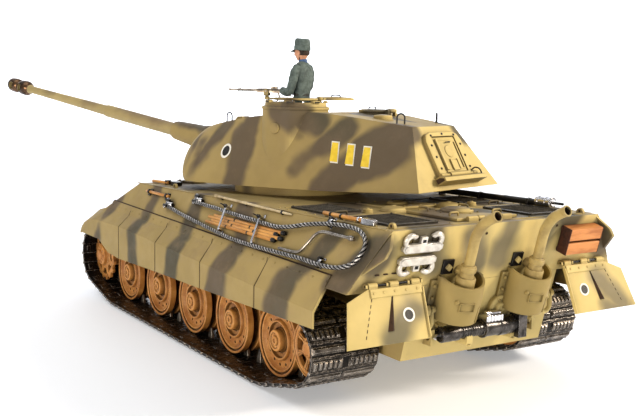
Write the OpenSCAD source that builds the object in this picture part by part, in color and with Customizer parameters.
// Radio-controlled model of a heavy tank with a rounded turret, at about one sixteenth of full size.
// Millimetres, +X forward, +Y left, +Z up, standing on z = 0, origin under the centre of the outline.
// The turret rests turned a little to the left and the gun rests raised a little.

/* [Running gear] */
// Distance between neighbouring road wheel axles
axle_pitch = 32.19; // [31.9:0.01:32.4]
// Height of the road wheel axles above the ground
axle_z = 28.5; // [28.4:0.1:28.8]
// Radius of a road wheel
wheel_r = 24.6; // [24.2:0.1:24.9]
// Radius of the rear idler rim
idler_r = 18.8; // [18.4:0.1:18.9]
// Number of links in one track
link_count = 90; // [89:1:91]
// Number of teeth on each drive sprocket ring
sprocket_teeth = 16; // [15:1:17]
// Outer edge of the track, from the centre line
track_out = 112.2; // [111.8:0.1:113]
// Inner edge of the track, from the centre line
track_in = 62.4; // [62.3:0.1:63]

/* [Hull] */
// Half width of the tub between the tracks
tub_half = 58.7; // [58:0.1:58.9]
// Ground clearance under the tub
belly_z = 31; // [30:0.5:32]
// Wall thickness of the moulded hull
wall = 2.4; // [2:0.1:2.6]
// Half width of the roof plate
roof_half = 84.8; // [84:0.1:85.4]
// Half width of the hull at the sponson floor
sponson_half = 106.9; // [106:0.1:107.2]
// Outside face of the side skirts, from the centre line
skirt_y = 117.3; // [117:0.1:118.4]

/* [Turret] */
// How far the turret rests turned to the left, in degrees
turret_rest = 15.2; // [12:0.1:18]
// How far the gun rests raised, in degrees
gun_rest = 7.5; // [7:0.1:8]
// Distance from the gun trunnion to the muzzle
gun_reach = 352; // [345:1:356]
// Radius of the turret ring
ring_r = 52; // [50:0.5:52]

/* [Hidden] */

// Everything is drawn about the middle road wheel axle, then moved so the outline is centred on the origin.
rear_reach = -264.5;
trunnion = [84, 0, 143];
muzzle_x = (trunnion[0] + gun_reach * cos(gun_rest)) * cos(turret_rest);
x_shift = -(muzzle_x + rear_reach) / 2;

fit = 0.05;          // radial running clearance of every turning joint
axle_r = 3;
pitch_off = 1.9;     // chain line above the ground
plate_in = 1.5;      // link plate above the chain line
sprocket_c = [176.2, 37];
idler_c = [-176.9, 35];
sprocket_pr = 24.1;  // chain line radius on the sprocket
idler_pr = 21;
wheel_pr = axle_z - pitch_off;
arm_in = tub_half;
arm_out = 61.9;

// roof: it falls gently forwards
roof_rear = [-237.3, 116.3];
roof_front = [115, 108.8];
roof_tilt = atan((roof_rear[1] - roof_front[1]) / (roof_front[0] - roof_rear[0]));
function zr(x) = roof_rear[1] - tan(roof_tilt) * (x - roof_rear[0]);
side_slope = 0.666;                       // how far the side plates lean out, per millimetre down
function side_y(z) = roof_half + (roof_rear[1] - z) * side_slope;
side_lean = atan(side_slope);
sponson_z = 83.1;
nose = [194, 57];
glacis_lean = atan((roof_front[1] - nose[1]) / (nose[0] - roof_front[0]));
function glacis_z(x) = nose[1] + (nose[0] - x) * tan(glacis_lean);
rear_slope = 0.268;
function rear_x(z) = roof_rear[0] + (roof_rear[1] - z) * rear_slope;
rear_lean = atan(rear_slope);

module place() { translate([x_shift, 0, 0]) children(); }
module both() { children(); mirror([0, 1, 0]) children(); }
// a frame on the sloping roof
module deck(x, y) { translate([x, y, zr(x)]) rotate([0, roof_tilt, 0]) children(); }
// a frame on the left side plate: local x runs forward, local y up the plate, local z out of it
module side(x, z) { translate([x, side_y(z), z]) rotate([90 - side_lean, 0, 180]) mirror([1, 0, 0]) children(); }
// a frame on the rear plate: local x runs to the left, local y up the plate, local z out of it
module rear(y, z) { translate([rear_x(z), y, z]) rotate([90, 0, -90]) rotate([rear_lean, 0, 0]) mirror([1, 0, 0]) children(); }
module turned() { rotate([0, 0, turret_rest]) children(); }
module gun_frame() { translate(trunnion) rotate([0, -gun_rest, 0]) children(); }

// solid made by joining equal rings of points, whichever way round they run
function fan(p, f) = [for (k = [1:len(f) - 2]) p[f[0]] * cross(p[f[k]], p[f[k + 1]])];
function add(v) = v * [for (q = v) 1];
function turns_in(p, faces) = add([for (f = faces) add(fan(p, f))]) > 0;
function backwards(f) = [for (k = [len(f) - 1:-1:0]) f[k]];
module loft(rings) {
  n = len(rings[0]);
  m = len(rings);
  pts = [for (r = rings) each r];
  caps = [[for (i = [0:n - 1]) i], [for (i = [n - 1:-1:0]) (m - 1) * n + i]];
  walls = [for (j = [0:m - 2]) for (i = [0:n - 1])
    [j * n + i, (j + 1) * n + i, (j + 1) * n + (i + 1) % n, j * n + (i + 1) % n]];
  faces = concat(caps, walls);
  polyhedron(points = pts, faces = turns_in(pts, faces) ? [for (f = faces) backwards(f)] : faces, convexity = 6);
}

// tube swept along points
function unit(v) = v / norm(v);
function tangent(p, i) = unit(p[min(i + 1, len(p) - 1)] - p[max(i - 1, 0)]);
module tube(p, r, n = 8, up = [0, 0.3, 1]) {
  loft([for (i = [0:len(p) - 1])
    let (t = tangent(p, i), a = unit(cross(t, up)), b = cross(t, a))
    [for (k = [0:n - 1]) p[i] + r * (cos(360 * k / n) * a + sin(360 * k / n) * b)]]);
}
// smooth points through hand-chosen ones
function cr(p0, p1, p2, p3, t) = 0.5 * ((2 * p1) + (p2 - p0) * t + (2 * p0 - 5 * p1 + 4 * p2 - p3) * t * t
  + (3 * p1 - p0 - 3 * p2 + p3) * t * t * t);
function smooth(p, k) = concat([for (i = [0:len(p) - 2]) for (j = [0:k - 1])
  cr(p[max(i - 1, 0)], p[i], p[i + 1], p[min(i + 2, len(p) - 1)], j / k)], [p[len(p) - 1]]);

// ---- road wheels ----
outer_disc_a = 92.7;
outer_disc_b = 82.5;
inner_disc_a = 75.5;
inner_disc_b = 65.5;
disc_t = 5;

module disc(r) {
  // dished steel disc with a thick rim, turned about its axle
  rotate_extrude($fn = 64)
    polygon([[8, -1.1], [r - 5.5, -1.1], [r - 4, -disc_t / 2], [r, -disc_t / 2], [r, disc_t / 2],
      [r - 3, disc_t / 2], [r - 4.5, 0.6], [12.5, 0.6], [11, 2.2], [8, 2.2]]);
}
module wheel(outer) {
  ya = outer ? outer_disc_a : inner_disc_a;
  yb = outer ? outer_disc_b : inner_disc_b;
  cap = outer ? 97.6 : 83.8;
  cap_r = outer ? 7.4 : 5.9;
  difference() {
    union() {
      translate([0, 0, ya]) disc(wheel_r);
      translate([0, 0, yb]) mirror([0, 0, 1]) disc(wheel_r);
      translate([0, 0, yb - 2.2]) cylinder(r = 8.6, h = ya - yb + 4.4, $fn = 48);
      translate([0, 0, ya]) cylinder(r = cap_r, h = cap - ya, $fn = 48);
      for (k = [0:9]) rotate(36 * k) translate([15.6, 0, ya + 0.2]) cylinder(r = 0.9, h = 1.2, $fn = 6);
    }
    translate([0, 0, yb - 3]) cylinder(r = axle_r + fit, h = cap - yb + 0.5, $fn = 32);
    for (k = [0:9]) rotate(36 * k + 18) translate([17.2, 0, ya - 2]) cylinder(r = 1, h = 4, $fn = 16);
  }
}
module wheel_at(i, s) {
  color("peru") place() translate([axle_pitch * (5 - i), 0, axle_z]) mirror([0, s < 0 ? 1 : 0, 0])
    rotate([-90, 0, 0]) wheel(i % 2 == 1);
}
module wheel_l1() { wheel_at(1, 1); }
module wheel_l2() { wheel_at(2, 1); }
module wheel_l3() { wheel_at(3, 1); }
module wheel_l4() { wheel_at(4, 1); }
module wheel_l5() { wheel_at(5, 1); }
module wheel_l6() { wheel_at(6, 1); }
module wheel_l7() { wheel_at(7, 1); }
module wheel_l8() { wheel_at(8, 1); }
module wheel_l9() { wheel_at(9, 1); }
module wheel_r1() { wheel_at(1, -1); }
module wheel_r2() { wheel_at(2, -1); }
module wheel_r3() { wheel_at(3, -1); }
module wheel_r4() { wheel_at(4, -1); }
module wheel_r5() { wheel_at(5, -1); }
module wheel_r6() { wheel_at(6, -1); }
module wheel_r7() { wheel_at(7, -1); }
module wheel_r8() { wheel_at(8, -1); }
module wheel_r9() { wheel_at(9, -1); }

// ---- drive sprocket: two toothed rings on a drum, with its own output shaft ----
tooth_out = 98.5;
tooth_in = 75.5;
tooth_t = 2.4;
tooth_tip = 23.3;
tooth_root = 21.2;
shaft_r = 4;
housing_out = 69;
module tooth_ring(holes) {
  difference() {
    union() {
      cylinder(r = tooth_root, h = tooth_t, center = true, $fn = 64);
      for (k = [0:sprocket_teeth - 1]) rotate(360 * (k + 0.5) / sprocket_teeth)
        linear_extrude(height = tooth_t, center = true)
          polygon([[tooth_root - 1, -2], [tooth_tip, -0.9], [tooth_tip, 0.9], [tooth_root - 1, 2]]);
    }
    if (holes) for (k = [0:7]) rotate(45 * k) linear_extrude(height = 4, center = true)
      polygon([[12.5, -2.6], [17.6, -3.9], [17.6, 3.9], [12.5, 2.6]]);
  }
}
module sprocket() {
  translate([0, 0, tooth_out]) tooth_ring(true);
  translate([0, 0, tooth_in]) tooth_ring(false);
  translate([0, 0, tooth_in]) cylinder(r = 10.5, h = tooth_out - tooth_in, $fn = 48);
  translate([0, 0, tooth_out]) cylinder(r = 9, h = 5, $fn = 48);
  translate([0, 0, tooth_out]) cylinder(r = 4.5, h = 7, $fn = 32);
  translate([0, 0, arm_in + 2]) cylinder(r = shaft_r, h = tooth_in - arm_in - 2, $fn = 32);
}
module sprocket_left() { color("peru") place() translate([sprocket_c[0], 0, sprocket_c[1]]) rotate([-90, 0, 0]) sprocket(); }
module sprocket_right() {
  color("peru") place() translate([sprocket_c[0], 0, sprocket_c[1]]) mirror([0, 1, 0]) rotate([-90, 0, 0]) sprocket();
}

// ---- rear idler: two spoked rims on a hub ----
idler_a = 98.4;
idler_b = 66.5;
module idler_rim() {
  difference() {
    rotate_extrude($fn = 64)
      polygon([[5, -1], [idler_r - 3, -1], [idler_r - 2.4, -2.2], [idler_r, -2.2], [idler_r, 2.2],
        [idler_r - 2.4, 2.2], [idler_r - 3, 1], [5, 1]]);
    for (k = [0:7]) rotate(45 * k) linear_extrude(height = 4, center = true)
      polygon([[8.8, -2.2], [15.2, -4.9], [15.2, 4.9], [8.8, 2.2]]);
  }
}
module idler() {
  difference() {
    union() {
      translate([0, 0, idler_a]) idler_rim();
      translate([0, 0, idler_b]) idler_rim();
      translate([0, 0, idler_b - 2]) cylinder(r = 7, h = idler_a - idler_b + 4, $fn = 48);
      translate([0, 0, idler_a]) cylinder(r = 4.6, h = 4.2, $fn = 32);
    }
    translate([0, 0, idler_b - 3]) cylinder(r = axle_r + fit, h = idler_a - idler_b + 4.5, $fn = 32);
  }
}
module idler_left() { color("peru") place() translate([idler_c[0], 0, idler_c[1]]) rotate([-90, 0, 0]) idler(); }
module idler_right() {
  color("peru") place() translate([idler_c[0], 0, idler_c[1]]) mirror([0, 1, 0]) rotate([-90, 0, 0]) idler();
}

// ---- tracks: the chain line runs round wheel, sprocket, idler and wheel again ----
w_front = [4 * axle_pitch, axle_z];
w_rear = [-4 * axle_pitch, axle_z];
function dist2(a, b) = norm(b - a);
function tang(a, ra, b, rb) = atan2(b[1] - a[1], b[0] - a[0]) - acos((ra - rb) / dist2(a, b));
phi1 = tang(w_front, wheel_pr, sprocket_c, sprocket_pr);
phi2 = tang(sprocket_c, sprocket_pr, idler_c, idler_pr) + 360;
phi3 = tang(idler_c, idler_pr, w_rear, wheel_pr) + 360;
function line_len(a, ra, b, rb) = sqrt(dist2(a, b) * dist2(a, b) - (ra - rb) * (ra - rb));
rad = PI / 180;
seg = [
  wheel_pr * (phi1 + 90) * rad,
  line_len(w_front, wheel_pr, sprocket_c, sprocket_pr),
  sprocket_pr * (phi2 - phi1) * rad,
  line_len(sprocket_c, sprocket_pr, idler_c, idler_pr),
  idler_pr * (phi3 - phi2) * rad,
  line_len(idler_c, idler_pr, w_rear, wheel_pr),
  wheel_pr * (270 - phi3) * rad,
  8 * axle_pitch
];
function total(v, i = 0) = i == len(v) ? 0 : v[i] + total(v, i + 1);
function upto(v, k) = k <= 0 ? 0 : v[k - 1] + upto(v, k - 1);
loop_len = total(seg);
link_pitch = loop_len / link_count;
function polar(c, r, a) = c + r * [cos(a), sin(a)];
function chain(s) =
  s < upto(seg, 1) ? polar(w_front, wheel_pr, -90 + s / wheel_pr / rad) :
  s < upto(seg, 2) ? polar(w_front, wheel_pr, phi1) + (s - upto(seg, 1)) * [-sin(phi1), cos(phi1)] :
  s < upto(seg, 3) ? polar(sprocket_c, sprocket_pr, phi1 + (s - upto(seg, 2)) / sprocket_pr / rad) :
  s < upto(seg, 4) ? polar(sprocket_c, sprocket_pr, phi2) + (s - upto(seg, 3)) * [-sin(phi2), cos(phi2)] :
  s < upto(seg, 5) ? polar(idler_c, idler_pr, phi2 + (s - upto(seg, 4)) / idler_pr / rad) :
  s < upto(seg, 6) ? polar(idler_c, idler_pr, phi3) + (s - upto(seg, 5)) * [-sin(phi3), cos(phi3)] :
  s < upto(seg, 7) ? polar(w_rear, wheel_pr, phi3 + (s - upto(seg, 6)) / wheel_pr / rad) :
  polar(w_rear, wheel_pr, 270) + (s - upto(seg, 7)) * [1, 0];
link_gap = 0.9;
plate_out = -0.7;
groove = -0.2;
tooth_slot = tooth_t / 2 + 0.7;
horn_y = [87.6, 70.5];
horn_t = 2.4;
horn_h = 7.6;
// one link: x along the chain, y out from the hull's centre line, z towards the wheels
module link(len, horns) {
  translate([-len / 2, 0, 0]) rotate([90, 0, 90]) linear_extrude(height = len)
    polygon([[track_in, plate_out], [track_out, plate_out], [track_out, plate_in],
      [tooth_out + tooth_slot, plate_in], [tooth_out + tooth_slot, groove], [tooth_out - tooth_slot, groove],
      [tooth_out - tooth_slot, plate_in], [tooth_in + tooth_slot, plate_in], [tooth_in + tooth_slot, groove],
      [tooth_in - tooth_slot, groove], [tooth_in - tooth_slot, plate_in], [track_in, plate_in]]);
  translate([-1, track_in, -pitch_off]) cube([2, track_out - track_in, 1.6]);
  if (horns) for (y = horn_y) translate([0, y + horn_t / 2, plate_in - 0.3]) rotate([90, 0, 0])
    linear_extrude(height = horn_t) polygon([[-3.2, 0], [3.2, 0], [1.2, horn_h + 0.3], [-1.2, horn_h + 0.3]]);
}
module track() {
  for (i = [0:link_count - 1]) {
    a = chain(i * link_pitch);
    b = chain((i + 1) * link_pitch - (i == link_count - 1 ? 0.001 : 0));
    m = (a + b) / 2;
    h = atan2(b[1] - a[1], b[0] - a[0]);
    translate([m[0], 0, m[1]]) rotate([0, -h, 0]) link(dist2(a, b) - link_gap, i % 2 == 0);
  }
}
module track_left() { color("dimgray") place() track(); }
module track_right() { color("dimgray") place() mirror([0, 1, 0]) track(); }

// ---- hull tub ----
tub_top = 80;
module tub_profile(e) {
  xn = nose[0] - 3.7;
  polygon([[rear_x(belly_z) + e, belly_z + e], [nose[0] - 22 - e * 0.5, belly_z + e], [xn - e * 1.4, nose[1] - 0.1],
    [xn - e - (tub_top - nose[1]) / tan(glacis_lean), tub_top], [rear_x(tub_top) + e, tub_top]]);
}
module side_extrude(half) { rotate([90, 0, 0]) translate([0, 0, -half]) linear_extrude(height = 2 * half) children(); }
module lower_hull() {
  color("darkkhaki") place() {
    difference() {
      side_extrude(tub_half) tub_profile(0);
      side_extrude(tub_half - wall) union() {
        tub_profile(wall);
        translate([rear_x(tub_top) + wall + 1, tub_top - 1]) square([nose[0] - 46 - rear_x(tub_top) - wall * 2 - 1, 3]);
      }
      both() translate([sprocket_c[0], 0, sprocket_c[1]]) rotate([-90, 0, 0])
        cylinder(r = shaft_r + fit, h = 80, $fn = 32);
    }
    // final drive housings beside the nose
    both() difference() {
      translate([sprocket_c[0], tub_half, sprocket_c[1]]) rotate([-90, 0, 0])
        cylinder(r = 11, h = housing_out - tub_half, $fn = 48);
      translate([sprocket_c[0], 0, sprocket_c[1]]) rotate([-90, 0, 0])
        cylinder(r = shaft_r + fit, h = 80, $fn = 32);
    }
    // side cheeks of the nose carry the final drives
    both() difference() {
      translate([sprocket_c[0] - 12, tub_half - wall, belly_z]) cube([20, wall, 17]);
      translate([sprocket_c[0], 0, sprocket_c[1]]) rotate([-90, 0, 0])
        cylinder(r = shaft_r + fit, h = 80, $fn = 32);
    }
    // towing eyes at the rear corners and hitch eyes low in the middle
    both() translate([rear_x(46) + 1.5, 44, 46]) rotate([90, 0, 0]) difference() {
      translate([-8, -5, 0]) cube([9, 10, 3]);
      translate([-4.6, 0, -1]) cylinder(r = 2, h = 5, $fn = 24);
    }
  }
}

// ---- hull upper shell ----
module upper_solid(e) {
  // rings at sponson floor and roof; the roof falls forwards
  f = sponson_z - 3;
  zf = f + e * 1.2;
  sy = sponson_half + 2 - e;
  xf = nose[0] - (f - nose[1]) * (nose[0] - roof_front[0]) / (roof_front[1] - nose[1]);
  loft([
    [[rear_x(f) + e, -sy, zf], [xf - e, -sy, zf], [xf - e, sy, zf], [rear_x(f) + e, sy, zf]],
    [[roof_rear[0] + e, -(roof_half - e * 0.7), zr(roof_rear[0]) - e],
      [roof_front[0] - e * 0.4, -(side_y(zr(roof_front[0])) - e * 0.7), zr(roof_front[0]) - e],
      [roof_front[0] - e * 0.4, side_y(zr(roof_front[0])) - e * 0.7, zr(roof_front[0]) - e],
      [roof_rear[0] + e, roof_half - e * 0.7, zr(roof_rear[0]) - e]]
  ]);
}
hatch_x = 97;
hatch_y = 47;
hatch_hole_r = 9.5;
engine_x = -198;
engine_len = 50;
engine_half = 25;
hatch_pin_z = 2;
mg_ball = [135, -46, glacis_z(135)];
mg_ball_r = 7;
mg_pin = 8.6;
module upper_hull() {
  color("darkkhaki") place() {
    difference() {
      upper_solid(0);
      upper_solid(wall);
      translate([-225, -tub_half + 0.1, 70]) cube([375, 2 * tub_half - 0.2, sponson_z - 3 + wall * 1.2 - 70 + 0.05]);
      translate([0, 0, 90]) cylinder(r = ring_r + fit, h = 40, $fn = 128);
      both() deck(hatch_x, hatch_y) translate([0, 0, -8]) cylinder(r = hatch_hole_r, h = 12, $fn = 48);
      deck(engine_x, 0) translate([-engine_len / 2 + 4, -engine_half + 4, -8]) cube([engine_len - 8, 2 * engine_half - 8, 12]);
      both() translate([rear_x(95) - 3, 28.5, 88]) rotate([0, 90, 0]) cylinder(r = 3, h = 8, $fn = 24);
      translate(mg_ball) sphere(r = mg_ball_r + 0.3, $fn = 48);
      translate(mg_ball) rotate([90, 0, 0]) translate([0, 0, -mg_pin - 0.2]) cylinder(r = 1.2 + fit, h = 2 * mg_pin + 0.4, $fn = 32);
    }
    // glacis from the roof down to the nose, over the tub
    side_extrude(tub_half) polygon([[nose[0], nose[1]], [nose[0] - 3.6, nose[1]],
      [nose[0] - 3.6 - 23.1 / tan(glacis_lean), sponson_z - 3], [nose[0] - 23.1 / tan(glacis_lean), sponson_z - 3]]);
    // pointed ends of the side plates behind the rear plate
    both() side_fin();
    // armoured collar round the ball mount
    difference() {
      translate(mg_ball) rotate([0, 90 - glacis_lean - 20, 0]) cylinder(r = 10.5, h = 3, $fn = 48);
      translate(mg_ball) sphere(r = mg_ball_r + 0.3, $fn = 48);
      translate(mg_ball) rotate([90, 0, 0]) translate([0, 0, -mg_pin - 0.2]) cylinder(r = 1.2 + fit, h = 2 * mg_pin + 0.4, $fn = 32);
      translate(mg_ball) rotate([0, 80, 0]) cylinder(r1 = 5, r2 = 9, h = 12, $fn = 32);
    }
    // raised rib between the two front hatches
    deck(hatch_x + 6, 0) translate([-7, -20, -0.5]) cube([14, 40, 1.6]);
  }
}
module side_fin() {
  // triangle of the side plate that stands out behind the rear plate
  loft([
    [[roof_rear[0] + 1, roof_half - 2, zr(roof_rear[0]) - 1], [roof_rear[0] + 1, roof_half, zr(roof_rear[0]) - 1],
      [rear_x(90) + 1, side_y(90), 90], [rear_x(90) + 1, side_y(90) - 2, 90]],
    [[roof_rear[0] - 6, side_y(106) - 2.2, 107], [roof_rear[0] - 6, side_y(106) - 0.2, 107],
      [roof_rear[0] - 6, side_y(101) - 0.2, 102], [roof_rear[0] - 6, side_y(101) - 2.2, 102]]
  ]);
}

// ---- swing arms and axles ----
module suspension_arms() {
  color("saddlebrown") place() both() {
    for (i = [1:9]) {
      x = axle_pitch * (5 - i);
      outer = i % 2 == 1;
      reach = outer ? 94.7 : 80.9;
      translate([x, arm_in, axle_z]) rotate([-90, 0, 0]) {
        cylinder(r = 5.4, h = arm_out - arm_in, $fn = 32);
        cylinder(r = axle_r, h = reach - arm_in, $fn = 32);
        if (outer) cylinder(r = 5.4, h = outer_disc_b - 4.2 - arm_in, $fn = 32);
      }
      translate([x + 13, arm_in, 38]) rotate([-90, 0, 0]) cylinder(r = 4.6, h = arm_out - arm_in, $fn = 32);
      translate([x, arm_in, axle_z]) rotate([0, -atan2(9.5, 13), 0]) translate([0, 0, -3]) cube([16.1, 3, 6]);
    }
    // crank and axle of the idler
    translate([idler_c[0], arm_in, idler_c[1]]) rotate([-90, 0, 0]) {
      cylinder(r = 6, h = 4.2, $fn = 32);
      cylinder(r = axle_r, h = idler_a + 1 - arm_in, $fn = 32);
    }
    translate([idler_c[0], arm_in, idler_c[1] - 3]) cube([18, 4.2, 8]);
  }
}

// ---- fenders and side skirts ----
// front to rear: x at the fold, fold height, bottom height
guard_t = 1.2;
sec = [
  [144, 73.9, 57.5], [122, 74.3, 49.2], [97.4, 74.9, 47.7], [21.6, 72.9, 50.2], [-56.8, 71.0, 52.0],
  [-135.5, 68.7, 54.4], [-206, 66.8, 56.5]
];
flange_z = 91;       // top of the flange on the side plate, at the front
flange_rear_z = 87;
function fl_z(x) = flange_z + (144 - x) * (flange_rear_z - flange_z) / 350;
module guard_panel(a, b, seam) {
  xa = a[0] - seam;
  xb = b[0] + seam;
  g = guard_t;
  // flange on the side plate
  loft([for (q = [[xa, a], [xb, b]]) let (x = q[0], zt = fl_z(x))
    [[x, side_y(zt), zt], [x, side_y(zt) + g, zt], [x, side_y(84) + g + 0.1, 83.6], [x, side_y(84), 83.6]]]);
  // sloping top
  loft([for (q = [[xa, a], [xb, b]]) let (x = q[0], zf = q[1][1])
    [[x, side_y(84) - 0.4, 82.4], [x, side_y(84) + g + 0.1, 83.7], [x, skirt_y, zf], [x, skirt_y - 1, zf - g]]]);
  // upright skirt
  loft([for (q = [[xa, a], [xb, b]]) let (x = q[0], zf = q[1][1], zb = q[1][2])
    [[x, skirt_y - g, zf - 0.3], [x, skirt_y, zf], [x, skirt_y, zb], [x, skirt_y - g, zb]]]);
}
module front_guard() {
  // the curved guard over the front of the track
  g = guard_t;
  xs = [144, 158, 170, 180, 187, 191];
  drop = [0, 0.6, 2.6, 6.2, 11, 16.4];
  for (k = [0:len(xs) - 2]) {
    loft([for (j = [k, k + 1])
      [[xs[j], 64, 78 - drop[j]], [xs[j], 64, 79.2 - drop[j]],
        [xs[j], 106, 83.5 - drop[j] * 1.3], [xs[j], skirt_y, 73.9 - drop[j]], [xs[j], skirt_y - 1, 72.7 - drop[j]],
        [xs[j], 105.6, 82.2 - drop[j] * 1.3]]]);
    loft([for (j = [k, k + 1])
      [[xs[j], skirt_y - g, 73.5 - drop[j]], [xs[j], skirt_y, 73.9 - drop[j]],
        [xs[j], skirt_y, min(57.5, 73 - drop[j])], [xs[j], skirt_y - g, min(57.5, 73 - drop[j])]]]);
  }
}
module track_guards() {
  color("darkkhaki") place() both() {
    for (k = [0:len(sec) - 2]) guard_panel(sec[k], sec[k + 1], (k >= 2 ? 0.25 : 0));
    front_guard();
  }
}

// ---- hinged mud flaps ----
flap_hinge = [-231.3, 0, 84.6];
flap_drop = 31.6;
flap_lean = atan(12.6 / 31.6);
module mudflap(s) {
  color("khaki") place() mirror([0, s < 0 ? 1 : 0, 0]) {
    translate(flap_hinge) {
      // sheet: local y along the hinge, hanging down and back
      rotate([0, flap_lean, 0]) translate([-1.2, 0, 0]) rotate([0, 90, 0]) rotate([0, 0, 90])
        mirror([1, 0, 0]) mirror([0, 1, 0]) linear_extrude(height = 1.3)
          polygon([[-59, 1.9], [-98, 1.9], [-113, 8], [-119, flap_drop / cos(flap_lean)],
            [-60.6, flap_drop / cos(flap_lean)]]);
      // stiffening rib
      rotate([0, flap_lean, 0]) translate([-2.2, 66, -30]) cube([1.2, 1.6, 24]);
      // hinge knuckles
      for (y = [60.5, 76, 91]) difference() {
        union() {
          translate([0, y, 0]) rotate([-90, 0, 0]) cylinder(r = 1.7, h = 6, $fn = 24);
          rotate([0, flap_lean, 0]) translate([-1.2, y, -3]) cube([1.3, 6, 2.6]);
        }
        translate([0, y - 1, 0]) rotate([-90, 0, 0]) cylinder(r = 0.8 + fit, h = 8, $fn = 24);
      }
    }
  }
}
module mudflap_left() { mudflap(1); }
module mudflap_right() { mudflap(-1); }

// ---- engine deck ----
module grille(lx, ly, n) {
  difference() {
    translate([-lx / 2, -ly / 2, -0.4]) cube([lx, ly, 1.8]);
    translate([-lx / 2 + 2, -ly / 2 + 2, -1]) cube([lx - 4, ly - 4, 4]);
  }
  for (k = [1:n]) translate([-lx / 2 + 2 + k * (lx - 4) / (n + 1) - 0.4, -ly / 2 + 1, -0.2]) cube([0.8, ly - 2, 1.1]);
  translate([-lx / 2 + 1, -0.5, -0.2]) cube([lx - 2, 1, 0.9]);
}
module deck_grilles() {
  color("slategray") place() both() {
    deck(-199, 57) grille(46, 36, 11);
    deck(-131, 60) grille(40, 30, 9);
  }
}
module grab(w, h) {
  // low wire handle
  r = 0.8;
  translate([-w / 2, 0, -0.3]) cylinder(r = r, h = h + 0.3, $fn = 16);
  translate([w / 2, 0, -0.3]) cylinder(r = r, h = h + 0.3, $fn = 16);
  translate([-w / 2, 0, h]) rotate([0, 90, 0]) cylinder(r = r, h = w, $fn = 16);
}
module deck_fittings() {
  color("darkkhaki") place() {
    // flat plates and low domed intake covers
    deck(-131, 0) translate([-19, -22, -0.3]) cube([38, 44, 1.5]);
    both() deck(-158, 24) rotate_extrude($fn = 48) polygon([[0, -0.3], [8.4, -0.3], [8.4, 1.2], [6.6, 2.9], [0, 3.4]]);
    // filler caps
    both() deck(-158, 45) cylinder(r = 3.2, h = 2.6, $fn = 32);
    // lifting eyes at the corners of the deck
    both() deck(-228, 78) translate([-3, -1, -0.3]) cube([6, 2, 3.6]);
    both() deck(60, 82) translate([-3, -1, -0.3]) cube([6, 2, 3.6]);
    // periscope covers behind the front hatches
    both() deck(hatch_x - 3, hatch_y - 20) translate([-2.5, -4, -0.3]) cube([5, 8, 2.4]);
    // hinge leaves for the engine hatch
    both() deck(engine_x - engine_len / 2 - 1.6, 14) translate([-1.6, -4, -0.3]) cube([3.2, 8, 3.4]);
    // hinge pins of the engine hatch
    both() deck(engine_x - engine_len / 2 - 1.6, 14) translate([0, -9, hatch_pin_z]) rotate([-90, 0, 0])
      cylinder(r = 0.8, h = 9, $fn = 24);
    // pins of the mud flaps with their end lugs
    both() translate([flap_hinge[0], 58, flap_hinge[2]]) {
      rotate([-90, 0, 0]) cylinder(r = 0.8, h = 41, $fn = 24);
      for (y = [0, 9.6, 25, 39.6]) translate([-1, y, -1]) cube([5, 1.4, 2]);
    }
    // bosses under the front hatches' swivels
    both() deck(hatch_x, hatch_y + 14) translate([0, 0, -0.4]) cylinder(r = 2.4, h = 0.9, $fn = 32);
    both() deck(hatch_x, hatch_y + 14) cylinder(r = 1.2, h = 3.2, $fn = 32);
  }
}
module engine_hatch() {
  color("darkkhaki") place() deck(engine_x, 0) {
    difference() {
      translate([-engine_len / 2, -engine_half, 0.25]) cube([engine_len, 2 * engine_half, 1.8]);
      both() translate([-engine_len / 2 - 1, 9.4, -1]) cube([3.8, 9.2, 5]);
    }
    // vent dome and grab handles
    translate([4, 0, 2]) rotate_extrude($fn = 48) polygon([[0, -0.4], [11, -0.4], [11, 1.2], [8.5, 3], [0, 3.4]]);
    both() translate([17, 17, 2]) grab(9, 2.6);
    both() translate([-14, 18, 2]) rotate(90) grab(7, 2.4);
    // knuckles round the pins
    both() difference() {
      union() {
        translate([-engine_len / 2 - 1.6, 4.8, hatch_pin_z]) rotate([-90, 0, 0]) cylinder(r = 1.5, h = 4.8, $fn = 24);
        translate([-engine_len / 2 - 1.6, 4.8, 0.5]) cube([2.6, 4.8, 1.4]);
      }
      translate([-engine_len / 2 - 1.6, 4, hatch_pin_z]) rotate([-90, 0, 0]) cylinder(r = 0.8 + fit, h = 15, $fn = 24);
    }
  }
}

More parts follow.
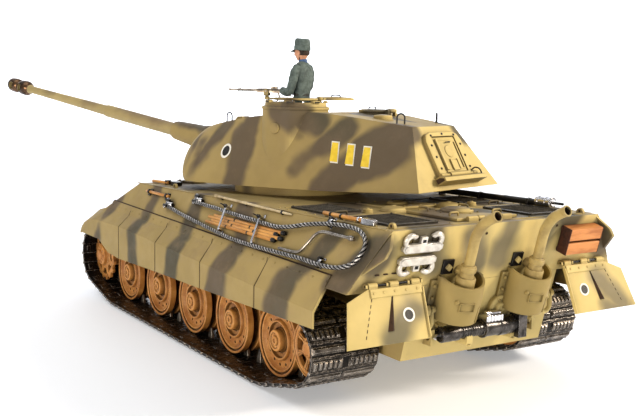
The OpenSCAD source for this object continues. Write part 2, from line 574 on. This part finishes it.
// ---- exhausts ----
ex_y = 28.5;
ex_r = 15.5;
module exhaust_guards() {
  color("khaki") place() both() rear(ex_y, 60) {
    // half-round armour shield, open at the top
    difference() {
      union() {
        translate([0, 0, 3]) rotate([-90, 0, 0]) cylinder(r = ex_r, h = 26, $fn = 64);
        translate([-ex_r - 4.5, 0, 0]) cube([2 * ex_r + 9, 26, 2]);
      }
      translate([0, 2.4, 3]) rotate([-90, 0, 0]) cylinder(r = ex_r - 1.8, h = 30, $fn = 64);
      translate([-40, -5, -60]) cube([80, 60, 60]);
      // the top edge slopes down towards the back
      translate([-40, 26, 3]) rotate([24, 0, 0]) cube([80, 30, 60]);
    }
    // flange bolts
    for (u = [-ex_r - 2.6, ex_r + 2.6], v = [4, 13, 22]) translate([u, v, 1.8]) cylinder(r = 1.1, h = 1.3, $fn = 6);
  }
}
module exhaust_pipes() {
  color("khaki") place() both() rear(ex_y, 64) {
    translate([0, 0, 8.2]) rotate([-90, 0, 0]) {
      cylinder(r = 6, h = 24, $fn = 48);
      cylinder(r = 4.2, h = 30, $fn = 48);
      translate([0, 0, 29]) cylinder(r = 4.8, h = 2.2, $fn = 48);
    }
    difference() {
      tube(pipe_path, 3.2, 16, [1, 0, 0]);
      translate(pipe_tip) rotate([-pipe_tip_lean, 0, 0]) translate([0, 0, -4]) cylinder(r = 2.4, h = 8, $fn = 32);
    }
    // inlet stub through the rear plate
    translate([0, 25, -1.5]) cylinder(r = 2.9, h = 8, $fn = 24);
  }
}
pipe_tip = [0, 68.6, 21.7];
pipe_tip_lean = 38;
pipe_path = smooth([[0, 28, 8.2], [0, 40, 8.2], [0, 48, 8.2], [0, 54, 9.4], [0, 60, 12.4], [0, 64.8, 16.9], pipe_tip], 3);

// ---- tow cables along both side plates ----
cable_r = 1.5;
cable_route = smooth([
  [36, 99.4, 98.8], [10, 101.4, 96.3], [-28, 103.2, 93.8], [-58, 104.6, 91.9], [-87, 105.6, 90.6],
  [-116, 105.8, 90.6], [-142, 105.6, 91], [-170, 105.2, 91.6], [-196, 105.2, 91.4], [-213, 104.4, 93],
  [-223, 101.6, 97], [-226, 97, 104], [-222, 92.8, 110], [-212, 90.4, 113.6], [-198, 90, 114.2],
  [-179, 90.6, 113], [-160, 92.6, 110.2], [-142, 95.3, 106.4], [-126, 96.6, 104.6], [-100, 96.4, 105],
  [-76, 96.3, 105.2], [-52, 95.9, 105.8], [-28, 95.7, 106.2], [-6, 95.4, 106.6]
], 3);
module eye(x, z, s) {
  side(x, z) translate([s * 4.6, 0, 0.5]) difference() {
    union() {
      cylinder(r = 3.6, h = 2.8, $fn = 32);
      translate([min(0, -s * 6), -1.6, 0]) cube([6, 3.2, 2.8]);
    }
    translate([0, 0, -1]) cylinder(r = 1.9, h = 5, $fn = 24);
  }
}
module tow_cables() { color("silver") place() both() tube(cable_route, cable_r, 8); }

// ---- clamps, hooks and shackles ----
module strap(x0, z0, x1, z1, h) {
  // flat band standing off the side plate over rods and cable
  dx = x1 - x0;
  dz = (z1 - z0) / cos(side_lean);
  l = norm([dx, dz]);
  side(x0, z0) rotate(atan2(dz, dx)) {
    translate([0, -0.9, h]) cube([l, 1.8, 0.8]);
    translate([0, -0.9, -0.6]) cube([0.9, 1.8, h + 1]);
    translate([l - 0.9, -0.9, -0.6]) cube([0.9, 1.8, h + 1]);
  }
}
module c_hook(w) {
  // open hook held flat against the plate
  linear_extrude(height = 2.6) difference() {
    union() {
      translate([-w / 2 + 5, 0]) circle(r = 5, $fn = 32);
      translate([w / 2 - 5, 0]) circle(r = 5, $fn = 32);
      translate([-w / 2 + 5, -5]) square([w - 10, 7]);
    }
    translate([-w / 2 + 6, 0.6]) circle(r = 2.3, $fn = 24);
    translate([w / 2 - 6, 0.6]) circle(r = 2.3, $fn = 24);
    translate([-w / 2 + 9, 1]) square([w - 18, 8]);
  }
}
module shackle() {
  // U-shaped shackle with its pin
  linear_extrude(height = 2.6, center = true) difference() {
    union() {
      circle(r = 5.6, $fn = 32);
      translate([-5.6, 0]) square([11.2, 10]);
    }
    circle(r = 3, $fn = 24);
    translate([-3, 0]) square([6, 12]);
  }
  translate([-7, 8.5, 0]) rotate([0, 90, 0]) cylinder(r = 1.2, h = 14, $fn = 16);
}
module hull_fittings() {
  color("silver") place() {
    both() strap(-62, 91.4, -54, 107.6, 4.9);
    both() strap(-112, 89.6, -104, 106.4, 4.9);
    both() eye(36, 98.9, 1);
    both() eye(-6, 106.7, 1);
    both() for (q = [[-150, 90.4], [-196, 91]]) side(q[0], q[1]) translate([-1.4, -2.6, -0.6]) cube([2.8, 5.2, 1.2]);
    rear(62, 109) rotate(180) c_hook(29);
    rear(64, 94.4) c_hook(27);
    both() translate([rear_x(54) - 5, 50, 57]) rotate([90, 0, 90]) mirror([0, 1, 0]) shackle();
    both() translate([rear_x(62) + 1, 48.5, 60.5]) mirror([1, 0, 0]) cube([7, 3, 5]);
    // bracket feet that hold the jack
    for (y = [13, -24]) translate([rear_x(48) - 9, y, 39.5]) cube([12, 5, 3.6]);
    // round cover low on the rear plate
    rear(-12, 60) cylinder(r = 8.5, h = 3, $fn = 48);
    rear(-12, 60) cylinder(r = 3, h = 4.4, $fn = 32);
  }
}

// ---- wooden rods and handles ----
module wooden_tools() {
  color("burlywood") place() {
    // bundle of cleaning rods on the left side
    for (k = [0:3]) side(-130 - (k % 2) * 7, 95.4 + k * 1.75) rotate([0, 90, 1.2]) translate([-1.7 , 0, 0])
      cylinder(r = 1.25, h = 100, $fn = 16);
    // handle on the front of the left side plate
    side(46, 104) rotate([0, 90, 0]) translate([-1.6, 0, 0]) cylinder(r = 1.2, h = 44, $fn = 16);
    // handle on the front roof, handle on the rear deck
    deck(88, 76) rotate([0, 90, 8]) translate([-1.6, 0, 0]) cylinder(r = 1.3, h = 24, $fn = 16);
    deck(-203, 80) rotate([0, 90, -2]) translate([-1.7, 0, 0]) cylinder(r = 1.4, h = 46, $fn = 16);
    // handle on the right side plate
    mirror([0, 1, 0]) side(-120, 100) rotate([0, 90, 0]) translate([-1.6, 0, 0]) cylinder(r = 1.2, h = 70, $fn = 16);
  }
}
module tool_heads() {
  color("gray") place() {
    // head and clips of the roof tools
    deck(75, 73) translate([-2, -3, 0.15]) cube([12.5, 6, 3.2]);
    deck(-212, 80.4) translate([-1, -3.2, 0.15]) cube([9.5, 6.4, 3.6]);
    // rod caps on the bundle
    for (k = [0:3]) side(-130 - (k % 2) * 7, 95.4 + k * 1.75) rotate([0, 90, 1.2]) translate([-1.7, 0, -3])
      cylinder(r = 1.5, h = 2.9, $fn = 16);
    // black brackets of the front side tool
    for (x = [50, 84]) side(x, 104) translate([-1.6, -2.4, 0.05]) cube([3.2, 4.8, 0.9]);
    // cranked starting handle on the left side
    tube(smooth([[-144, 103.9, 93.6], [-160, 103.8, 93.8], [-167, 103, 95], [-171, 99.4, 100.4], [-174, 95.6, 106],
      [-180, 94, 108.4], [-196, 93.9, 108.6], [-210, 93.8, 108.7]], 3), 0.9, 8);
    // thin aerial rod near the roof edge
    side(-134, 112.2) rotate([0, 90, -0.6]) translate([-1, 0, 0]) cylinder(r = 0.8, h = 108, $fn = 16);
    // long barrel-cleaning tube on the right edge of the deck, with its end fitting
    deck(-188, -79) rotate([0, 90, 0]) translate([-3.3, 0, 0]) cylinder(r = 2.3, h = 112, $fn = 32);
    deck(-203, -79) rotate([0, 90, 0]) translate([-4.3, 0, 0]) cylinder(r = 3.9, h = 14.9, $fn = 32);
    // shovel blade on the right side plate
    mirror([0, 1, 0]) side(-121, 100) translate([-14, -5, 0.3]) cube([13.8, 10, 1.4]);
  }
}
module rear_jack() {
  color("dimgray") place() translate([rear_x(50) - 6.2, 0, 47.6]) rotate([-90, 0, 0]) {
    translate([0, 0, -22]) cylinder(r = 6.2, h = 26, $fn = 32);
    translate([0, 0, 4]) cylinder(r = 4.2, h = 20, $fn = 32);
    translate([0, 0, 24]) cylinder(r = 5, h = 14, $fn = 32);
    translate([-4, -8, -11]) cube([8, 4, 14]);
    translate([0, -9, -11]) cylinder(r = 1.8, h = 12, $fn = 24);
    translate([-7, -7, -29]) cube([9, 15, 7]);
  }
}
module jack_block() {
  color("sienna") place() rear(-68, 102.5) {
    translate([-15, -9, 0.2]) cube([30, 8, 8.5]);
    translate([-15, 0.6, 0.2]) cube([30, 8, 8.5]);
    translate([-15, -1.2, 0.2]) cube([30, 2, 6]);
  }
}
module headlight() {
  color("dimgray") place() translate([144, 0, glacis_z(144) + 5.6]) {
    translate([0, 0, -7.6]) cylinder(r = 1.6, h = 9, $fn = 24);
    rotate([0, 90, 0]) translate([0, 0, -4.5]) cylinder(r = 4.8, h = 9, $fn = 48);
    rotate([0, 90, 0]) translate([0, 0, -8.4]) cylinder(r1 = 2.2, r2 = 4.6, h = 4.2, $fn = 48);
  }
}
module hull_mg() {
  color("darkkhaki") place() translate(mg_ball) {
    // ball with its two pins
    rotate([90, 0, 0]) rotate_extrude($fn = 48) polygon([for (a = [-90:15:90]) mg_ball_r * [cos(a), sin(a)]]);
    rotate([90, 0, 0]) translate([0, 0, -mg_pin]) cylinder(r = 1.2, h = 2 * mg_pin, $fn = 32);
    rotate([0, 78, 0]) translate([0, 0, 4]) cylinder(r = 1.8, h = 8, $fn = 24);
    rotate([0, 78, 0]) translate([0, 0, 10]) cylinder(r = 1, h = 14, $fn = 24);
  }
}
module front_hatch(s) {
  color("darkkhaki") place() mirror([0, s < 0 ? 1 : 0, 0]) deck(hatch_x, hatch_y) difference() {
    union() {
      translate([0, 0, 0.25]) cylinder(r = 11, h = 1.7, $fn = 64);
      translate([-3, 6, 0.6]) cube([6, 8, 1.6]);
      translate([0, 14, 0.6]) cylinder(r = 3, h = 1.8, $fn = 32);
      translate([0, -2, 1.6]) grab(7, 1.6);
    }
    translate([0, 14, -1]) cylinder(r = 1.2 + fit, h = 6, $fn = 32);
  }
}
module driver_hatch() { front_hatch(1); }
module radio_hatch() { front_hatch(-1); }

// ---- what the hull holds ----
module drive_gearboxes() {
  color("lightgray") place() both() {
    translate([134, 16, 40]) cube([32, 40, 20]);
    translate([96, 34, 50]) rotate([0, 90, 0]) cylinder(r = 11.5, h = 38, $fn = 48);
  }
}
module battery_pack() { color("royalblue") place() translate([-150, -35, belly_z + wall + 0.6]) cube([92, 46, 26]); }
module control_board() {
  color("seagreen") place() {
    translate([-40, -44, belly_z + wall + 0.6]) cube([96, 60, 2]);
    translate([-30, -36, belly_z + wall + 2.5]) cube([24, 18, 6]);
    translate([10, -30, belly_z + wall + 2.5]) cube([30, 22, 10]);
    translate([-20, -6, belly_z + wall + 2.5]) cylinder(r = 4, h = 12, $fn = 32);
    // speaker
    translate([-185, 0, belly_z + wall + 0.6]) cylinder(r = 18, h = 12, $fn = 48);
  }
}
module turret_drive() {
  color("ivory") place() {
    // bracket under the roof, motor and pinion beside the ring
    translate([-14, -86, 92]) cube([28, 20, 16.5]);
    translate([0, -76, 84]) cylinder(r = 8, h = 9, $fn = 48);
    translate([0, -ring_r - 6.4, 102.4]) cylinder(r = 6, h = 5.2, $fn = 48);
    translate([0, -ring_r - 6.4, 98]) cylinder(r = 2, h = 6, $fn = 24);
    translate([-4, -68, 97]) cube([8, 12, 4]);
  }
}

// ---- turret ----
// outline stations from the front centre to the rear centre: [x, y, z] at the base and at the roof, and nose bulge
t_base = [[84, 0, 115.6], [84, 30, 115.6], [82, 46, 115.8], [75, 57, 116.2], [58, 63, 117], [20, 63.4, 118],
  [-36, 60.5, 119.6], [-90, 57, 121.8], [-156, 50, 126]];
t_roof = [[84, 0, 158.8], [82, 20, 159], [76, 27, 160.2], [68, 31, 161.8], [50, 35, 165], [12, 39.5, 171],
  [-30, 40.5, 174.6], [-62, 38.5, 175.8], [-131, 25.5, 168.8]];
t_bulge = [18, 18, 16.5, 13, 7, 2.5, 0, 0, 0];
levels = [0, 0.17, 0.34, 0.52, 0.7, 0.86, 1];
function half_ring(t, e) = [for (k = [0:len(t_base) - 1])
  let (b = t_base[k], r = t_roof[k], v = b + t * (r - b), w = pow(4 * t * (1 - t), 0.75) * t_bulge[k],
    sx = k < 4 ? 1 : k == 4 ? 0.6 : k == len(t_base) - 1 ? -1 : 0,
    sy = k == 0 ? 0 : 1)
  [v[0] + w - sx * e, v[1] + (k > 2 && k < 6 ? w * 0.18 : 0) - sy * e, v[2] + (t < 0.5 ? 1 : -1) * (t == 0 || t == 1 ? e : 0)]];
function flip(v) = [for (i = [len(v) - 1:-1:1]) [v[i][0], -v[i][1], v[i][2]]];
function ring_at(t, e) = concat(half_ring(t, e), flip(half_ring(t, e)));
module turret_solid(e) {
  n = 2 * len(t_base) - 1;
  m = len(levels);
  h = len(t_base);
  pts = [for (t = levels) each ring_at(t, e)];
  walls = [for (j = [0:m - 2]) for (i = [0:n - 1])
    [j * n + i, (j + 1) * n + i, (j + 1) * n + (i + 1) % n, j * n + (i + 1) % n]];
  // roof and floor are strips between matching left and right stations; the floor's first is five-sided
  strips = concat(
    [for (i = [1:h - 2]) [i, i + 1, n - i - 1, n - i]],
    [[0, 1, n - 1]]);
  floor_f = concat([for (i = [2:h - 2]) [i, i + 1, n - i - 1, n - i]], [[0, 1, 2, n - 2, n - 1]]);
  roof_f = [for (f = strips) [for (k = [len(f) - 1:-1:0]) f[k] + (m - 1) * n]];
  polyhedron(points = pts, faces = concat(floor_f, roof_f, walls), convexity = 8);
}
cup_c = [-21, 28];
cup_r = 25.5;
cup_in = 17.2;
cup_top = 183;
load_c = [-66, -14];
load_r = 13;
esc_z = 148.5;
t_rear_lean = atan(25 / 42.5);
module rear_wall(z) {
  // frame on the sloping turret rear: local x to the left, y up the plate, z out of it
  translate([-156 + (z - 126) * 25 / 42.8, 0, z]) rotate([90, 0, -90]) rotate([-t_rear_lean, 0, 0]) mirror([1, 0, 0]) children();
}
ball_r = 13.8;
pin_r = 2.5;
module turret_shell() {
  color("darkkhaki") place() turned() {
    difference() {
      union() {
        turret_solid(0);
        // bulge under the cupola
        intersection() {
          translate([cup_c[0], cup_c[1], 118]) cylinder(r = cup_r, h = 60, $fn = 96);
          translate([cup_c[0] - 40, cup_c[1] - 40, 121]) cube([80, 80, 60]);
        }
      }
      turret_solid(wall + 0.2);
      translate([cup_c[0], cup_c[1], 130]) cylinder(r = cup_in + 1, h = 60, $fn = 64);
      translate([load_c[0], load_c[1], 160]) cylinder(r = load_r - 1.5, h = 30, $fn = 64);
      // slot for the gun, and room for its ball
      translate([86, -11.6, 129.4]) cube([30, 23.2, 28.2]);
      translate(trunnion) sphere(r = ball_r + 0.5, $fn = 64);
      // rear escape opening
      rear_wall(esc_z) translate([-13, -13, -8]) cube([26, 26, 14]);
    }
    // base ring that turns in the roof
    difference() {
      translate([0, 0, 102]) cylinder(r = ring_r, h = 18.6, $fn = 128);
      translate([0, 0, 101]) cylinder(r = ring_r - 5, h = 22, $fn = 128);
    }
    // coaming under the loader's hatch
    translate([load_c[0], load_c[1], 172]) difference() {
      cylinder(r = load_r - 0.3, h = roof_mid - 172.3, $fn = 64);
      translate([0, 0, -1]) cylinder(r = load_r - 1.6, h = 8, $fn = 64);
    }
    // cheeks that carry the trunnions
    both() difference() {
      translate([76, 16, 134]) cube([24.6, 3, 17]);
      translate([trunnion[0], 0, trunnion[2]]) rotate([-90, 0, 0]) cylinder(r = pin_r + fit, h = 30, $fn = 32);
    }
  }
}
module loop() {
  // upright wire lifting loop
  rotate([90, 0, 0]) {
    translate([-3, 0, 0]) rotate([-90, 0, 0]) cylinder(r = 0.6, h = 5, $fn = 12);
    translate([3, 0, 0]) rotate([-90, 0, 0]) cylinder(r = 0.6, h = 5, $fn = 12);
    translate([0, 5, 0]) difference() {
      rotate_extrude($fn = 32) translate([3, 0]) circle(r = 0.6, $fn = 16);
      translate([-5, -5, -5]) cube([10, 5, 10]);
    }
  }
}
module turret_fittings() {
  color("khaki") place() turned() {
    translate([50, 31, 164.4]) loop();
    translate([-118, 22, 169.6]) rotate(60) loop();
    translate([-118, -22, 169.6]) rotate(-60) loop();
    // plug on the cupola bulge
    translate([cup_c[0], cup_c[1], 163.8]) rotate([0, 90, 96]) translate([0, 0, cup_r - 0.6]) cylinder(r = 4.2, h = 1.8, $fn = 48);
    // roof fan cover
    translate([-94, 12, 171]) cylinder(r = 7, h = 4.8, $fn = 48);
    // pin and lugs of the loader's hatch
    translate([load_c[0] - 15.5, load_c[1] - 5.4, roof_mid + 1.6]) {
      rotate([-90, 0, 0]) cylinder(r = 0.8, h = 10.8, $fn = 24);
      for (y = [0, 8.8]) translate([-1.2, y, -4.8]) cube([2.4, 2, 6]);
    }
    // gunner's periscope hood
    translate([44, 14, 165]) cube([9, 8, 4]);
    // frame plate round the escape hatch with its bolts, and the shelf with the hinge roll
    rear_wall(esc_z) difference() {
      translate([-21, -17, 0]) cube([42, 34, 1.6]);
      translate([-14.2, -14.4, -1]) cube([28.4, 28.4, 5]);
    }
    rear_wall(esc_z) for (u = [-17.6, 17.6], v = [-13, -4, 5, 14]) translate([u, v, 1.4]) cylinder(r = 0.9, h = 1, $fn = 12);
    rear_wall(esc_z) translate([-24, -21, 0]) cube([48, 2.2, 7.4]);
    rear_wall(esc_z) translate([-24, -18.9, 0]) cube([2.2, 6, 5]);
    rear_wall(esc_z) translate([21.8, -18.9, 0]) cube([2.2, 6, 5]);
    // pin of the escape hatch
    rear_wall(esc_z) translate([-22.6, -16.3, 3.9]) rotate([0, 90, 0]) cylinder(r = 1, h = 45.2, $fn = 32);
  }
}
module gun_mantlet() {
  color("darkkhaki") place() turned() gun_frame() {
    difference() {
      union() {
        sphere(r = ball_r, $fn = 64);
        rotate([0, 90, 0]) rotate_extrude($fn = 64)
          polygon([[0, 8], [10.6, 8], [10.8, 20], [12, 21.4], [12.4, 24], [11.2, 30], [10.2, 42], [9.2, 60], [8.6, 68],
            [7, 71], [0, 71]]);
      }
      rotate([0, 90, 0]) translate([0, 0, 26]) cylinder(r = 6.05, h = 50, $fn = 48);
    }
    both() rotate([-90, 0, 0]) translate([0, 0, 12.4]) cylinder(r = pin_r, h = 8, $fn = 32);
    // breech behind the ball
    translate([-44, -8, -8]) cube([32, 16, 16]);
  }
}
brake = gun_reach - 36;
module gun_barrel() {
  color("darkkhaki") place() turned() gun_frame() rotate([0, 90, 0]) difference() {
    union() {
      translate([0, 0, 26]) rotate_extrude($fn = 64) polygon([[0, 0], [6, 0], [6, 150], [5.3, 151], [3.9, brake - 27],
        [4.6, brake - 26], [4.6, brake - 20], [0, brake - 20]]);
      translate([0, 0, brake]) rotate_extrude($fn = 64)
        polygon([[0, 0], [4.6, 0], [7.2, 3], [7.9, 7], [7.9, 11], [7.2, 15], [5.2, 17.5], [5.2, 20], [7, 21.4],
          [7.6, 25], [7.6, 31], [6.8, 35], [5, 36], [0, 36]]);
    }
    translate([0, 0, brake + 3]) cylinder(r = 2.9, h = 60, $fn = 32);
    // side ports
    for (z = [8, 24.6]) translate([-3.6, -20, brake + z]) cube([7.2, 40, 5.6]);
  }
}
module cupola() {
  color("darkkhaki") place() turned() translate([cup_c[0], cup_c[1], 0]) {
    difference() {
      union() {
        translate([0, 0, 177.8]) cylinder(r = cup_r + 0.6, h = 1.8, $fn = 96);
        translate([0, 0, 179]) cylinder(r = cup_r - 1.5, h = cup_top - 179, $fn = 96);
        // periscope heads round the ring
        for (k = [0:6]) rotate(k * 360 / 7 + 20) translate([cup_in + 4.2, -3.2, cup_top - 2.2]) cube([3.4, 6.4, 3.2]);
      }
      translate([0, 0, 170]) cylinder(r = cup_in, h = 30, $fn = 64);
    }
    // neck that drops into the turret
    difference() {
      translate([0, 0, 170]) cylinder(r = cup_in + 1, h = 8, $fn = 64);
      translate([0, 0, 169]) cylinder(r = cup_in, h = 30, $fn = 64);
    }
    // hatch pivot post
    rotate(hatch_a) translate([cup_in + 3, 0, cup_top - 0.5]) cylinder(r = 1.6, h = 4.8, $fn = 32);
  }
}
hatch_a = -112;
module cupola_hatch() {
  color("darkkhaki") place() turned() translate([cup_c[0], cup_c[1], 0]) rotate(hatch_a) translate([cup_in + 3, 0, cup_top])
    rotate(20) difference() {
      union() {
        translate([0, 0, 1.2]) cylinder(r = 3.2, h = 2.6, $fn = 32);
        translate([0, -3, 1.6]) cube([8, 6, 1.8]);
        translate([19, 0, 1.6]) cylinder(r = 14.5, h = 1.8, $fn = 64);
        translate([19, 0, 3.2]) grab(9, 1.6);
      }
      translate([0, 0, -1]) cylinder(r = 1.6 + fit, h = 8, $fn = 32);
    }
}
roof_mid = 176.4;
module loader_hatch() {
  color("darkkhaki") place() turned() translate([load_c[0], load_c[1], roof_mid]) {
    cylinder(r = load_r, h = 1.7, $fn = 64);
    translate([3, 0, 1.6]) rotate(90) grab(8, 1.8);
    difference() {
      union() {
        translate([-15.5, -3, 1.6]) rotate([-90, 0, 0]) cylinder(r = 1.6, h = 6, $fn = 24);
        translate([-15.5, -3, 0.2]) cube([8, 6, 1.5]);
      }
      translate([-15.5, -8, 1.6]) rotate([-90, 0, 0]) cylinder(r = 0.8 + fit, h = 16, $fn = 24);
    }
  }
}
module escape_hatch() {
  color("khaki") place() turned() rear_wall(esc_z) {
    difference() {
      union() {
        translate([-13.6, -13.8, 0.4]) cube([27.2, 27.2, 2.6]);
        // pistol-port flap and grips
        translate([-4, -12, 2.8]) cube([8.6, 9, 1.2]);
        translate([0, 3, 2.8]) cylinder(r = 4, h = 1.4, $fn = 48);
        translate([-9, -8, 2.8]) cube([2, 15, 1.6]);
        translate([-12, -16.3, 3.9]) rotate([0, 90, 0]) cylinder(r = 2, h = 24, $fn = 32);
        translate([-12, -16.3, 1.9]) cube([24, 4, 2.4]);
      }
      translate([-30, -16.3, 3.9]) rotate([0, 90, 0]) cylinder(r = 1 + fit, h = 60, $fn = 32);
    }
  }
}
aa_h = 188.6;
aa_x = 23.6;
module aa_mount() {
  color("darkkhaki") place() turned() translate([cup_c[0], cup_c[1], 0]) {
    difference() {
      translate([0, 0, cup_top + 1.4]) cylinder(r = 16.8, h = 1.8, $fn = 96);
      translate([0, 0, cup_top]) cylinder(r = 14.9, h = 5, $fn = 96);
    }
    rotate(aa_turn) {
      translate([15, -1.6, cup_top + 1.4]) cube([9, 3.2, 1.8]);
      translate([aa_x, 0, cup_top + 1.4]) cylinder(r = 1.5, h = 4, $fn = 24);
      difference() {
        both() translate([aa_x - 1.8, 1.9, aa_h - 1]) cube([3.6, 1.1, 5.2]);
        translate([aa_x, -8, aa_h + 2.2]) rotate([-90, 0, 0]) cylinder(r = 0.8 + fit, h = 16, $fn = 24);
      }
      translate([aa_x - 1.8, -3, aa_h - 1.4]) cube([3.6, 6, 1]);
    }
  }
}
aa_turn = 24;
module aa_gun() {
  color("dimgray") place() turned() translate([cup_c[0], cup_c[1], 0]) rotate(aa_turn) translate([aa_x, 0, aa_h + 2.2]) {
    rotate([90, 0, 0]) translate([0, 0, -3.2]) cylinder(r = 0.8, h = 6.4, $fn = 24);
    translate([-14, -1.5, -1.4]) cube([22, 3, 3.6]);
    translate([8, 0, 0.6]) rotate([0, 90, 0]) cylinder(r = 1.1, h = 17, $fn = 24);
    translate([24, 0, 0.6]) rotate([0, 90, 0]) cylinder(r = 0.7, h = 8, $fn = 16);
  }
}
module crew_figure() {
  color("slategray") place() turned() translate([cup_c[0] - 5, cup_c[1] - 1, 0]) rotate(10) {
    // torso
    hull() {
      translate([0, 0, 178]) scale([5.5, 8.2, 2]) sphere(r = 1, $fn = 24);
      translate([-0.4, 0, 197]) scale([6, 9, 6]) sphere(r = 1, $fn = 24);
      translate([-1, 0, 208.4]) scale([4.8, 9.8, 4.6]) sphere(r = 1, $fn = 24);
    }
    // neck, head and cap
    translate([-0.6, 0, 208]) cylinder(r = 3.1, h = 9, $fn = 24);
    hull() {
      translate([0.6, 0, 218.4]) scale([5, 4, 5.4]) sphere(r = 1, $fn = 24);
      translate([0.2, 0, 222.4]) scale([5.8, 5, 5]) sphere(r = 1, $fn = 24);
    }
    hull() {
      translate([0, 0, 226]) scale([6.4, 5.6, 5.2]) sphere(r = 1, $fn = 24);
      translate([6.6, 0, 222.8]) scale([3, 4, 0.7]) sphere(r = 1, $fn = 24);
    }
    // arms
    both() hull() {
      translate([-0.8, 9.2, 208]) sphere(r = 3.6, $fn = 20);
      translate([1, 11.2, 195]) sphere(r = 2.9, $fn = 20);
    }
    both() hull() {
      translate([1, 11.2, 195]) sphere(r = 2.9, $fn = 20);
      translate([12.5, 6.6, 191.4]) sphere(r = 2.1, $fn = 20);
    }
  }
}

wheel_l1();
wheel_l2();
wheel_l3();
wheel_l4();
wheel_l5();
wheel_l6();
wheel_l7();
wheel_l8();
wheel_l9();
wheel_r1();
wheel_r2();
wheel_r3();
wheel_r4();
wheel_r5();
wheel_r6();
wheel_r7();
wheel_r8();
wheel_r9();
sprocket_left();
sprocket_right();
idler_left();
idler_right();
track_left();
track_right();
lower_hull();
upper_hull();
suspension_arms();
track_guards();
mudflap_left();
mudflap_right();
deck_grilles();
deck_fittings();
engine_hatch();
exhaust_guards();
exhaust_pipes();
tow_cables();
hull_fittings();
wooden_tools();
tool_heads();
rear_jack();
jack_block();
headlight();
hull_mg();
driver_hatch();
radio_hatch();
drive_gearboxes();
battery_pack();
control_board();
turret_drive();
turret_shell();
turret_fittings();
gun_mantlet();
gun_barrel();
cupola();
cupola_hatch();
loader_hatch();
escape_hatch();
aa_mount();
aa_gun();
crew_figure();
